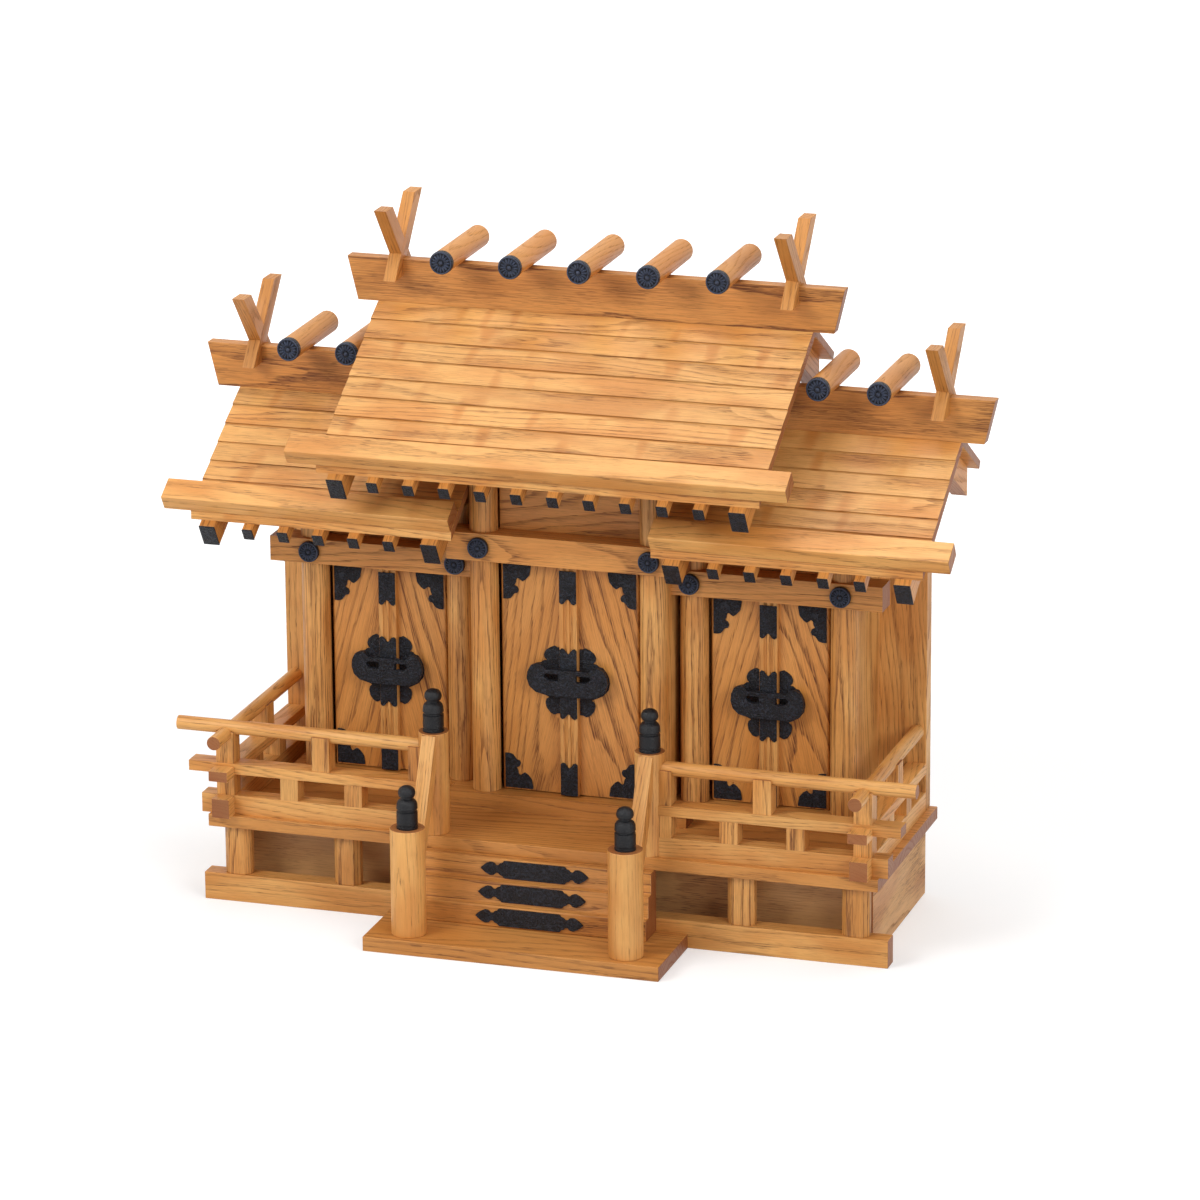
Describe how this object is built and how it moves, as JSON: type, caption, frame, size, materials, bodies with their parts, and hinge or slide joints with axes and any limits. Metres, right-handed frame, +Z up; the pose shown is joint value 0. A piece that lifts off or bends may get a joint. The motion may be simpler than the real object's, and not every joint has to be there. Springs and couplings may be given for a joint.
{
  "type": "household shrine cabinet",
  "caption": "Household shrine cabinet in light zelkova wood: shrines side by side with paired doors, stepped gable roofs, a railed balcony, a stair and black metal fittings.",
  "frame": {"origin": "middle of the footprint's box, on the face it rests on", "axes": "+X to the viewer's right, +Y towards the back board, +Z up; the doors face -Y"},
  "size_m": [0.5772, 0.255, 0.4835],
  "materials": {
    "zelkova_wood": "satin",
    "black_metal": "satin"
  },
  "bodies": {
    "cabinet": {"back_board": "zelkova_wood", "balcony_floor": "zelkova_wood", "barge_boards": "zelkova_wood", "base_cross_boards": "zelkova_wood", "base_sides": "zelkova_wood", "base_sill": "zelkova_wood", "billet_caps": "black_metal", "center_columns": "zelkova_wood", "center_lintel": "zelkova_wood", "center_rafters": "zelkova_wood", "eave_plank_center": "zelkova_wood", "eave_planks_side": "zelkova_wood", "finial_front_arms": "zelkova_wood", "finial_rear_arms": "zelkova_wood", "front_legs": "zelkova_wood", "front_rails": "zelkova_wood", "lintel_caps": "black_metal", "newel_caps": "black_metal", "newel_posts": "zelkova_wood", "rafter_caps": "black_metal", "railing_struts": "zelkova_wood", "ridge_billets": "zelkova_wood", "ridge_board_center": "zelkova_wood", "ridge_boards_side": "zelkova_wood", "roof_front_center": "zelkova_wood", "roof_front_sides": "zelkova_wood", "roof_rear_center": "zelkova_wood", "roof_rear_sides": "zelkova_wood", "shrine_threshold": "zelkova_wood", "shrine_walls": "zelkova_wood", "side_columns": "zelkova_wood", "side_lintels": "zelkova_wood", "side_rafters": "zelkova_wood", "side_rails": "zelkova_wood", "stair_platform": "zelkova_wood", "stair_rails": "zelkova_wood", "stair_steps": "zelkova_wood", "step_plates": "black_metal", "transom_panels": "zelkova_wood", "upper_posts": "zelkova_wood"},
    "left_leaf_left": {"left_door_left": "zelkova_wood", "left_fittings_left": "black_metal"},
    "left_leaf_right": {"left_door_right": "zelkova_wood", "left_fittings_right": "black_metal", "left_batten": "zelkova_wood", "left_lock": "black_metal"},
    "center_leaf_left": {"center_door_left": "zelkova_wood", "center_fittings_left": "black_metal"},
    "center_leaf_right": {"center_door_right": "zelkova_wood", "center_fittings_right": "black_metal", "center_batten": "zelkova_wood", "center_lock": "black_metal"},
    "right_leaf_left": {"right_door_left": "zelkova_wood", "right_fittings_left": "black_metal"},
    "right_leaf_right": {"right_door_right": "zelkova_wood", "right_fittings_right": "black_metal", "right_batten": "zelkova_wood", "right_lock": "black_metal"}
  },
  "joints": [
    {"name": "left_right_hinge", "type": "hinge", "parent": "cabinet", "child": "left_leaf_right", "pos_m": [-0.0995, 0.0338, 0.16], "axis": [0, 0, 1], "range_deg": [0, 90]},
    {"name": "left_left_hinge", "type": "hinge", "parent": "cabinet", "child": "left_leaf_left", "pos_m": [-0.1805, 0.0338, 0.16], "axis": [0, 0, -1], "range_deg": [0, 90]},
    {"name": "center_right_hinge", "type": "hinge", "parent": "cabinet", "child": "center_leaf_right", "pos_m": [0.0483, 0.0158, 0.16], "axis": [0, 0, 1], "range_deg": [0, 90]},
    {"name": "center_left_hinge", "type": "hinge", "parent": "cabinet", "child": "center_leaf_left", "pos_m": [-0.0483, 0.0158, 0.16], "axis": [0, 0, -1], "range_deg": [0, 90]},
    {"name": "right_right_hinge", "type": "hinge", "parent": "cabinet", "child": "right_leaf_right", "pos_m": [0.1805, 0.0338, 0.16], "axis": [0, 0, 1], "range_deg": [0, 90]},
    {"name": "right_left_hinge", "type": "hinge", "parent": "cabinet", "child": "right_leaf_left", "pos_m": [0.0995, 0.0338, 0.16], "axis": [0, 0, -1], "range_deg": [0, 90]}
  ],
  "couplings": [
    {"joint": "left_left_hinge", "follows": "left_right_hinge", "ratio": 1},
    {"joint": "center_left_hinge", "follows": "center_right_hinge", "ratio": 1},
    {"joint": "right_left_hinge", "follows": "right_right_hinge", "ratio": 1}
  ]
}
